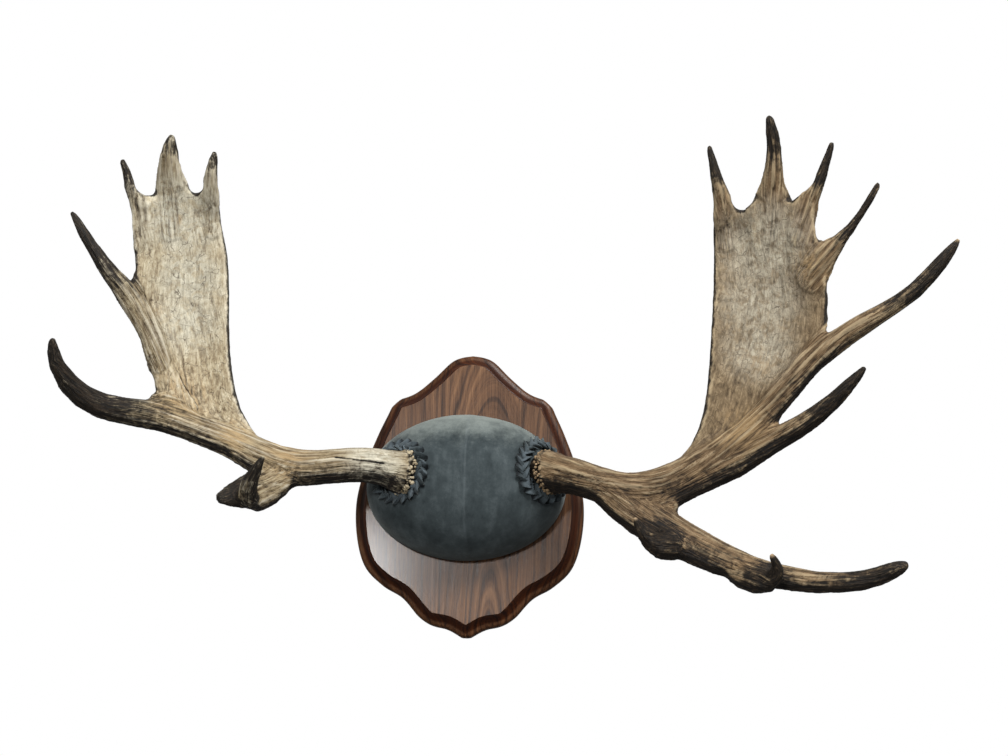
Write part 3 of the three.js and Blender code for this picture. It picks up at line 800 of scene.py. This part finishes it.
# the antlers
antlers = {
    "left": {
        "nodes": ["antler_left_beam", "antler_left_palm", "antler_left_brow", "antler_left_hooked_tine",
                  "antler_left_long_tine"],
        "look": paleLook,
        "voxel": 1.9,
        # painted shade, with the undersides' own darker colour: how dark the undersides are painted
        "shade": 0.72,  # how dark the undersides are
        "burr": {"at": (-93, 108, 22), "axis": (-0.85, 0.53, 0.12), "radius": 33},
        # the run of each limb: x, out, z and how far it reaches to each side
        "limbs": {
            "main": ((-62, 88, 26, 28), (-107, 117, 25, 30), (-163, 140, 26, 27), (-239, 156, 18, 28),
                     (-327, 171, 50, 26), (-425, 195, 82, 24), (-508, 235, 90, 20), (-555, 297, 131, 13),
                     (-556, 325, 163, 6)),
            "long": ((-440, 200, 170, 14), (-476, 223, 245, 16), (-515, 248, 295, 12), (-561, 277, 366, 5)),
            "outer": ((-472, 222, 340, 14), (-477, 249, 398, 12), (-493, 273, 448, 5)),
            "middle": ((-425, 215, 350, 26), (-428, 241, 422, 24), (-421, 281, 482, 7)),
            "inner": ((-373, 205, 360, 14), (-371, 237, 423, 12), (-362, 261, 464, 5)),
            "lobe": ((-246, 158, 8, 22), (-299, 200, -27, 26), (-331, 240, -44, 10)),
            "hook": ((-262, 172, -12, 18), (-291, 228, -40, 17), (-284, 252, -22, 12), (-262, 279, 10, 4)),
            "palm": ((-330, 161, 50, 41), (-375, 164, 94, 53), (-390, 167, 152, 54), (-401, 173, 210, 58),
                     (-413, 184, 264, 69), (-412, 196, 318, 64), (-420, 211, 365, 62), (-423, 228, 410, 60)),
        },
        # how far the dark reaches from each limb's tip, and how dark it is
        "tips": {"main": (245, 1.1), "long": (205, 0.9), "outer": (95, 0.6), "middle": (60, 0.5),
                 "inner": (60, 0.5), "lobe": (100, 1.1), "hook": (90, 1.0)},
        "stains": ((-474, 225, 335, 30, 0.3), (-286, 175, -36, 48, 0.6), (-400, 195, 105, 85, 0.25),
                   (-445, 205, 72, 60, 0.5)),
        # where the forks are filled and their seams eased
        "webs": ((-467, 240, 402, 34), (-391, 232, 410, 36), (-482, 225, 286, 40), (-450, 203, 180, 60),
                 (-444, 195, 120, 75), (-395, 180, 90, 45), (-262, 165, 10, 40)),
        "notches": ((-465, 415, 13), (-391, 420, 12), (-484, 296, 11), (-466, 132, 22)),  # x, z, radius
        "fills": ((-430, 192, 98, 26),),
        "crack": ((-114, 27), (-140, 29), (-180, 31)),
        "bone": ((-262, 279, 10, 5),),
        "gold": ((-405, 190, 112, 66), (-250, 160, 30, 60), (-330, 171, 50, 50), (-420, 225, 372, 12),
                 (-440, 215, 240, 20)),
        "grey": ((-415, 222, 375, 95), (-400, 205, 230, 75), (-400, 205, 290, 75), (-130, 138, 30, 60)),
        "seed": 3,
    },
    "right": {
        "nodes": ["antler_right_beam", "antler_right_palm", "antler_right_brow", "antler_right_lower_tine",
                  "antler_right_long_tine"],
        "look": oliveLook,
        "voxel": 2.12,
        # painted shade on the undersides, partly their own darker colour
        "shade": 0.95,
        "burr": {"at": (125, 101, 26), "axis": (0.83, 0.5, 0.1), "radius": 32},
        "limbs": {
            "main": ((96, 82, 39, 26), (138, 109, 21, 30), (194, 138, 2, 26), (276, 157, -8, 27),
                     (348, 173, 27, 24), (452, 205, 115, 20), (529, 229, 188, 17), (599, 255, 229, 14),
                     (659, 283, 277, 11), (689, 300, 315, 4)),
            "lower": ((288, 160, -25, 18), (388, 185, 23, 20), (476, 219, 69, 16), (537, 259, 115, 10),
                      (560, 276, 139, 5)),
            "fourth": ((490, 228, 285, 16), (526, 244, 324, 13), (562, 267, 363, 7), (585, 287, 402, 4)),
            "third": ((478, 232, 345, 16), (496, 249, 397, 12), (517, 272, 444, 7), (523, 282, 465, 4)),
            "second": ((438, 215, 340, 22), (442, 240, 410, 20), (443, 266, 462, 12), (434, 288, 503, 5)),
            "first": ((380, 205, 340, 16), (373, 225, 396, 15), (358, 247, 448, 7), (353, 254, 472, 4)),
            "brow": ((184, 135, 8, 22), (262, 160, -52, 28), (371, 200, -117, 23), (470, 234, -148, 17),
                     (559, 268, -150, 14), (606, 290, -132, 6)),
            "claw": ((382, 204, -130, 18), (427, 247, -151, 17), (438, 262, -142, 12), (428, 282, -120, 4)),
            "spur": ((306, 178, -92, 20), (268, 211, -91, 15), (247, 232, -63, 4)),
            "palm": ((314, 162, 2, 28), (357, 163, 32, 37), (388, 166, 70, 53), (405, 172, 131, 61),
                     (425, 177, 183, 78), (439, 187, 252, 84), (437, 199, 305, 82), (431, 212, 350, 74),
                     (428, 226, 390, 67)),
        },
        "tips": {"main": (215, 0.82), "lower": (170, 0.95), "fourth": (135, 0.95), "third": (100, 0.9),
                 "second": (105, 0.8), "first": (90, 0.75), "brow": (150, 0.85), "claw": (75, 1.0),
                 "spur": (85, 1.1)},
        "stains": ((275, 200, -98, 66, 0.95), (330, 190, -125, 62, 0.65), (425, 240, -158, 62, 0.85),
                   (520, 250, -160, 130, 0.35), (400, 225, -130, 120, 0.36)),
        "webs": ((400, 225, 384, 40), (483, 230, 402, 24), (511, 235, 337, 45), (497, 226, 285, 48),
                 (519, 225, 218, 50), (309, 160, -41, 45), (419, 190, 67, 50), (470, 205, 130, 50)),
        "notches": ((400, 401, 16), (481, 424, 21), (518, 352, 17), (533, 233, 17)),
        "fills": ((508, 234, 326, 10),),
        "crack": (),
        "bone": ((428, 282, -120, 7), (247, 232, -63, 7), (689, 300, 315, 6)),
        "gold": ((400, 190, 70, 60), (500, 225, 300, 40), (420, 210, 170, 40)),
        "grey": ((430, 217, 330, 95), (420, 205, 190, 75), (425, 205, 255, 85)),
        "seed": 11,
    },
}
surface = {
    "swell": 0.25,  # closes the cuts at the forks, mm
    "pearls": 87,
    "rounds": 60,
    "shrink": 1.0,  # how far easing the facets may lower a point, and how far it may fill a hollow, mm
    "fill": 6.0,
    "regain": 0.7,  # given back to the limbs, which the easing thins
    "ridge": 4.2,  # width of the ridges that run along the limbs
    "web": 22.0,  # how far the forks may fill
    # sizes of the slow lumps, the knobs and the patches with veins, mm
    "lumps": 38,
    "knobs": 4.6,
    "veins": 30,
    "split": 1.8,  # depth of the split
    "tipRelief": 0.45,  # share of the relief that is left at the tips
    # rounds of blurring that find the thin edges and the level about each point
    "thinBlur": 22,
    "levelBlur": 14,
}


def spreadPearls(bm, burr, seed):
    # small knobs of uneven size in three rows round the burr
    centre, axis, side, above = ringFrame(burr)
    shade = bm.verts.layers.float.new("knob")
    random = np.random.default_rng(seed)
    for index in range(surface["pearls"]):
        row = index % 3 - 1
        angle = 2 * math.pi * index / surface["pearls"] + random.uniform(-0.09, 0.09)
        size = random.triangular(1.3, 2.1, 3.9)
        reach = burr["radius"] + random.uniform(-1.6, 1.6) - 1.2 * abs(row)
        spot = centre + (side * math.cos(angle) + above * math.sin(angle)) * reach * mm
        spot += axis * (row * 3.2 - 3.2 + random.uniform(-1.8, 1.8)) * mm
        squash = Matrix.Diagonal((*random.uniform(0.7, 1.15, 3), 1))
        turned = Matrix.Rotation(random.uniform(0, 3), 4, "Y") @ Matrix.Rotation(random.uniform(0, 3), 4, "X")
        pearl = bmesh.ops.create_icosphere(bm, subdivisions=2, radius=size * mm,
                                           matrix=Matrix.Translation(spot) @ turned @ squash)
        paleness = random.uniform(0, 1) ** 1.5
        for vert in pearl["verts"]:
            vert[shade] = paleness


def rawAntler(antler):
    bm = bmesh.new()
    for node in antler["nodes"]:
        bm.from_mesh(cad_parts[node].data)
    bmesh.ops.remove_doubles(bm, verts=bm.verts, dist=1e-5)
    for x, out, z, radius in antler["fills"]:
        flat = Matrix.Translation(place(x, out, z)) @ Matrix.Diagonal((1, 0.5, 1, 1))
        bmesh.ops.create_icosphere(bm, subdivisions=3, radius=radius * mm, matrix=flat)
    bm.normal_update()
    centre, axis = ringFrame(antler["burr"])[:2]
    for vert in bm.verts:
        vert.co += vert.normal * surface["swell"] * mm
        # the stem is drawn in behind the burr, which overhangs it
        offset = vert.co - centre
        behind = -offset.dot(axis) / mm
        if behind > 5 and offset.length < 60 * mm:
            radial = offset + axis * behind * mm
            vert.co -= radial * 0.3
    return meshOf(bm, "raw")


def limbPlaces(points, run, stretch, thick):
    # each point in a limb's own coordinates, and how near it lies for the limb's girth
    spots = np.array([(x, -out, z) for x, out, z, girth in run], float)
    girths = np.array([girth for x, out, z, girth in run], float)
    path = np.array([tuple(spot) for spot in curveThrough(spots, 4 * len(run) + 8)])
    share = np.linspace(0, 1, len(path))
    girth = np.interp(share, np.linspace(0, 1, len(run)), girths)
    tangents = np.gradient(path, axis=0)
    tangents /= np.linalg.norm(tangents, axis=1)[:, None]
    lengths = np.concatenate([[0], np.cumsum(np.linalg.norm(np.diff(path, axis=0), axis=1))])
    nearest = np.zeros(len(points), int)
    closest = np.full(len(points), 1e12)
    for index, spot in enumerate(path):
        away = np.sum((points - spot) ** 2, axis=1)
        nearest = np.where(away < closest, index, nearest)
        closest = np.minimum(closest, away)
    # slide along the tangent, and read the frame between the path's points
    slide = np.sum((points - path[nearest]) * tangents[nearest], axis=1)
    along = lengths[nearest] + slide
    within = np.clip(along, 0, lengths[-1])
    centre = np.stack([np.interp(within, lengths, column) for column in path.T], axis=1)
    tangent = np.stack([np.interp(within, lengths, column) for column in tangents.T], axis=1)
    tangent /= np.linalg.norm(tangent, axis=1)[:, None]
    side = np.cross(tangent, (0, 1, 0))
    side /= np.maximum(np.linalg.norm(side, axis=1), 1e-6)[:, None]
    above = np.cross(side, tangent)
    offset = points - centre
    across = np.sum(offset * side, axis=1)
    through = np.sum(offset * above, axis=1)
    beyond = np.sum(offset ** 2, axis=1) - across ** 2 - through ** 2
    girth = np.interp(within, lengths, girth)
    thick = girth if thick is None else thick
    near = np.sqrt((across / girth) ** 2 + (through / thick) ** 2 + np.maximum(beyond, 0) / 15 ** 2)
    return np.stack([across, through, along / stretch], axis=1), near


def limbGrain(points, limbs):
    # coordinates and soft shares of every limb
    places, nears = [], []
    for name, run in limbs.items():
        kind, thick = ("palm", grain["palmThick"]) if name == "palm" else ("limb", None)
        coordinates, near = limbPlaces(points, run, grain[kind], thick)
        places.append(coordinates)
        nears.append(near)
    nears = np.array(nears)
    shares = np.exp(-5 * (nears - nears.min(axis=0)))
    shares[shares < 0.05] = 0
    return places, shares / shares.sum(axis=0)


def ridgesAt(places, shares, width, shift):
    # noise drawn out along the limbs, about -1 to 1
    total = np.zeros(shares.shape[1])
    for coordinates, share in zip(places, shares):
        for index in np.nonzero(share > 0.02)[0]:
            total[index] += share[index] * noise.noise(Vector(coordinates[index] / width) + shift)
    return total / np.sqrt(np.sum(shares ** 2, axis=0))


def pointNoise(points, size, shift=(0, 0, 0)):
    return np.array([noise.noise(Vector(point) / size + Vector(shift)) for point in points])


def awayFrom(points, x, out, z):
    return np.linalg.norm(points - np.array((x, -out, z)), axis=1)


def ballFields(points, spots):
    total = np.zeros(len(points))
    for *spot, reach in spots:
        total = np.maximum(total, 1 - eased(awayFrom(points, *spot), 0.25 * reach, reach))
    return total


def roundNotches(points, notches):
    for x, z, radius in notches:
        offset = points[:, [0, 2]] - np.array((x, z))
        away = np.hypot(*offset.T)
        inside = (away < radius) & (points[:, 1] < -120)
        push = radius / np.maximum(away[inside], 1) - 1
        points[np.ix_(inside, [0, 2])] += offset[inside] * push[:, None]


def easeFacets(points, edges, upwards, free, webs):
    # eases the facets and fills the crotches, within limits that keep the tips full
    start, web, pace = points, ballFields(points, webs), 0.6 * free
    for turn in range(3 * surface["rounds"]):
        if turn == surface["rounds"]:
            pace = pace * web[:, None]
        points = settled(points, edges, pace)
        shift = points - start
        length = np.linalg.norm(shift, axis=1)
        outwards = np.sum(shift * upwards, axis=1) > 0
        cap = np.where(outwards, surface["fill"] + surface["web"] * web, surface["shrink"])
        points = start + shift * np.minimum(1, cap / np.maximum(length, 1e-6))[:, None]
    for turn in range(4):
        points = settled(points, edges, 0.5 * free)
    return points


def splitField(points, normals, crack, lumps):
    # the open split along the front of the beam
    split = np.zeros(len(points))
    for (x, z), (farX, farZ) in zip(crack, crack[1:]):
        run = np.array((farX - x, farZ - z))
        offset = points[:, [0, 2]] - np.array((x, z))
        share = np.clip(offset @ run / (run @ run), 0, 1)
        away = np.hypot(*(offset - share[:, None] * run + 1.2 * lumps[:, None]).T)
        width = 1.0 + 0.5 * lumps + 0.5 * (x > -160)
        split = np.maximum(split, np.exp(-(away / width) ** 2) * (normals[:, 1] < -0.3))
    return split


def liftField(points, normals, antler, at):
    # how far each point is raised: long ridges, slow lumps, knobbly undersides
    palm, limb, seed = at["palm"], at["limb"], antler["seed"]
    ridges = ridgesAt(at["places"], at["shares"], surface["ridge"], Vector((seed, 0, 0)))
    finer = ridgesAt(at["places"], at["shares"], surface["ridge"] * 0.5, Vector((0, seed, 0)))
    lumps, knobs = pointNoise(points, surface["lumps"]), pointNoise(points, surface["knobs"])
    streak = 0.6 * ridges + 0.35 * finer
    # furrows and veins, only now and then
    some = eased(pointNoise(points, surface["veins"], (9, 9, 9)), 0.0, 0.3)
    valley = -np.maximum(0, 1 - np.abs(ridges) * 5) ** 1.5
    split = splitField(points, normals, antler["crack"], lumps)
    lift = (0.3 + 0.85 * limb) * streak + (0.2 + 0.6 * limb) * some * valley
    lift += limb * (1.0 * lumps + 0.5 * at["under"] * knobs) + 0.25 * palm * knobs + surface["regain"] * limb
    lift -= surface["split"] * split
    tips = [run[-1][:3] for name, run in antler["limbs"].items() if name != "palm"]
    tipNear = np.min([awayFrom(points, *tip) for tip in tips], axis=0)
    least = surface["tipRelief"]
    return lift * (least + (1 - least) * eased(tipNear, 4, 40)), streak, split


def darkField(points, normals, edges, antler, at):
    # painted shade with some real stain on the undersides and thin edges; the tips and the stains; darker in
    # the split; painted shade in a ring at the burr and on the stem behind it
    palm, limb, edgeOn, fromBurr = at["palm"], at["limb"], at["edgeOn"], at["fromBurr"]
    # painted shade, partly real colour: the undersides of the limbs and the side-on edges of the palm
    dark = antler["shade"] * at["under"] * limb + 0.9 * palm * eased(edgeOn, 0.55, 0.95)
    spots = [(*run[-1][:3], *antler["tips"][name], share)
             for (name, run), share in zip(antler["limbs"].items(), at["shares"]) if name in antler["tips"]]
    spots += [(*spot, 1.0) for spot in antler["stains"]]
    for x, out, z, reach, strength, share in spots:
        near = 1 - eased(awayFrom(points, x, out, z), 0.32 * reach, 1.08 * reach)
        dark = np.maximum(dark, strength * near * eased(share, 0.02, 0.75))
    blurred = normals
    for turn in range(surface["thinBlur"]):
        blurred = neighbourMean(blurred, edges)
    thin = eased(1 - np.linalg.norm(blurred, axis=1), 0.07, 0.27)
    # painted shade, partly real stain, on side-on edges and thin rims; darker in the split
    dark += 0.5 * eased(edgeOn, 0.6, 1.0) * limb + (0.3 + 0.6 * palm) * thin + at["split"]
    # painted shade at the burr: a ring at its base, and the stem in the shade behind it
    rim = np.exp(-(at["behind"] / 4) ** 2) * (fromBurr < antler["burr"]["radius"] + 12)
    stem = 1.2 * eased(-at["behind"], 0, 4) * (fromBurr < 60)
    return np.maximum(dark, np.maximum(stem, 0.8 * rim))


def makeAntler(side):
    antler = antlers[side]
    body = modified(rawAntler(antler), "REMESH", mode="VOXEL", voxel_size=antler["voxel"] * mm)
    pearlStart, radius = len(body.vertices), antler["burr"]["radius"]
    bm = bmesh.new()
    bm.from_mesh(body)
    spreadPearls(bm, antler["burr"], antler["seed"])
    mesh = meshOf(bm, "skin")
    points, edges = pointsOf(mesh) / mm, edgesOf(mesh)
    middle, axis = [np.array(part) for part in ringFrame(antler["burr"])[:2]]
    fromBurr = np.linalg.norm(points - middle / mm, axis=1)
    pearl = np.arange(len(points)) >= pearlStart
    free = eased(fromBurr, radius - 4, radius + 8)[:, None]
    free[pearl] = 0
    roundNotches(points, antler["notches"])
    points = easeFacets(points, edges, normalsOf(mesh), free, antler["webs"])
    setPoints(mesh, points * mm)
    normals = normalsOf(mesh)
    places, shares = limbGrain(points, antler["limbs"])
    palm = eased(shares[list(antler["limbs"]).index("palm")], 0.25, 0.8)
    # where painted shade goes: faces turned down and low parts, and edges side-on to the front; the
    # undersides carry the knobs too
    tilt = -normals[:, 2] + 0.25 * eased(-points[:, 2], 50, 110)
    at = {
        "places": places,
        "shares": shares,
        "palm": palm,
        "limb": 1 - palm,
        "edgeOn": 1 - np.abs(normals[:, 1]),
        "under": eased(tilt, -0.15, 0.65) * (1 - eased(points[:, 2], 130, 250)),
        "fromBurr": fromBurr,
        "behind": (points - middle / mm) @ axis,
    }
    lift, streak, at["split"] = liftField(points, normals, antler, at)
    lift *= eased(fromBurr, radius - 2, radius + 14)
    lift[pearl] = 0
    carved = points + normals * lift[:, None]
    setPoints(mesh, carved * mm)
    # how far each point stands proud of its surroundings
    even = carved
    for turn in range(surface["levelBlur"]):
        even = settled(even, edges, 0.7)
    proud = np.sum((carved - even) * normals, axis=1)
    knob = gathered(mesh.attributes["knob"].data, "value", 1, np.float32)[:, 0]
    dark = darkField(points, normals, edges, antler, at)
    relief = 0.5 + 0.45 * proud + 0.25 * streak
    bone = 0.8 * ballFields(points, antler["bone"])
    dark[pearl], relief[pearl], bone[pearl] = 0.4 * (1 - knob[pearl]), 0.5, 0.15 + 0.75 * knob[pearl]
    gold, grey = ballFields(points, antler["gold"]), ballFields(points, antler["grey"])
    # painted shade with the real stains in the first channel, gold and grey patches after
    setColours(mesh, "stainAndShade", (np.clip(dark, 0, 1), gold, grey, np.ones(len(points))))
    for name, coordinates, share in zip(antler["limbs"], places, shares):
        setColours(mesh, f"limb_{name}", (*(coordinates * mm).T, share))
    for name, values in (("palm", palm), ("relief", relief), ("bone", bone)):
        setValues(mesh, name, values)
    print(side, "antler:", len(mesh.polygons), "faces")
    finish = makeAntlerMaterial(f"antler_{side}_bone", antler["look"], antler["limbs"])
    return newPiece(f"antler_{side}", mesh, finish, antler["nodes"])


for side in antlers:
    makeAntler(side)
print("antlers made")

for node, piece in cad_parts.items():
    if node.startswith("shield_screw"):
        piece.data.materials.clear()
        piece.data.materials.append(screwSteel)


# studio: pale floor far below, white surroundings, soft lamps
studio = {
    "floor": -1.5,
    "backdrop": 1.0,
    "floorGlow": 0.6,
    "glow": (0.5, 0.2),  # the soft light from above and from below
    "lamps": (
        # name, spot, size, power
        ("key", (1.1, -2.2, 2.1), 0.9, 106),
        ("fill", (-0.67, -3.0, 0.31), 0.3, 30),
    ),
}


def makeStudio():
    bm = bmesh.new()
    bmesh.ops.create_grid(bm, x_segments=1, y_segments=1, size=90)
    bmesh.ops.translate(bm, vec=(0, 0, studio["floor"]), verts=bm.verts)
    material, tree, shader = newMaterial("pale_floor")
    feed(tree, shader, {
        "Base Color": (0.8, 0.8, 0.8, 1),
        "Emission Color": (1, 1, 1, 1),
        "Emission Strength": studio["floorGlow"],
        "Roughness": 0.9,
    })
    floor = placed("pale_floor", meshOf(bm, "pale_floor"))
    floor.data.materials.append(material)
    floor.visible_diffuse = floor.visible_glossy = False
    world = bpy.data.worlds.new("studio")
    world.use_nodes = True
    sky = world.node_tree
    way = put(sky, "SeparateXYZ", {0: put(sky, "TexCoord").outputs["Generated"]}).outputs
    above, below = studio["glow"]
    glow = spread(sky, way[2], -0.5, 0.6, below, above)
    seen = put(sky, "LightPath").outputs["Is Camera Ray"]
    shown = between(sky, seen, glow, studio["backdrop"])
    feed(sky, sky.nodes["Background"], {"Color": (1, 1, 1, 1), "Strength": shown})
    bpy.context.scene.world = world
    for name, spot, size, power in studio["lamps"]:
        data = bpy.data.lights.new(name, "AREA")
        data.size = size
        data.energy = power
        lamp = placed(name, data)
        lamp.location = spot
        aim = Vector((0, 0, 0.1)) - Vector(spot)
        lamp.rotation_euler = aim.to_track_quat("-Z", "Y").to_euler()
    bpy.context.scene.view_settings.view_transform = "Standard"


makeStudio()
print("studio made")
